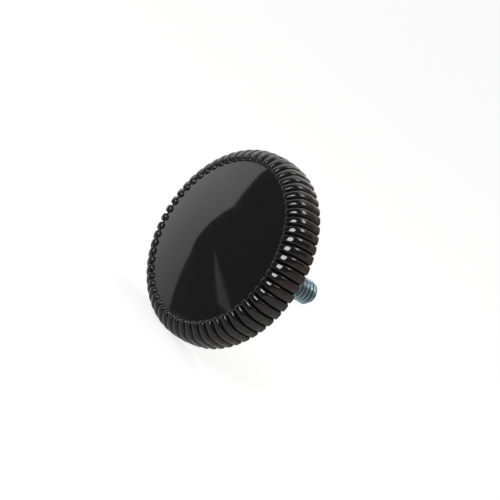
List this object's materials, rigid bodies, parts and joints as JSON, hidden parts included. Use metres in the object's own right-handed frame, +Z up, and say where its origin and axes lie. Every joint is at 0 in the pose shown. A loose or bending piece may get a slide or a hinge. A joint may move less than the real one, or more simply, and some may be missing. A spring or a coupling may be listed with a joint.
{
  "type": "knurled knob",
  "caption": "Round moulded clamping knob with a crowned glossy face, a ribbed rim and a cored back, on a threaded steel stud that screws into the part it clamps.",
  "frame": {"origin": "centre of the hub's seat, where the knob meets the work that it clamps", "axes": "+Y along the stud, out of the knob's back; the crowned face looks towards -Y; +Z up"},
  "size_m": [0.0508, 0.0382, 0.0508],
  "materials": {
    "knob": "polished black phenolic moulding",
    "stud": "blue zinc plate on rolled steel thread"
  },
  "bodies": {
    "root": {"knob": "knob", "stud": "stud"}
  },
  "joints": []
}
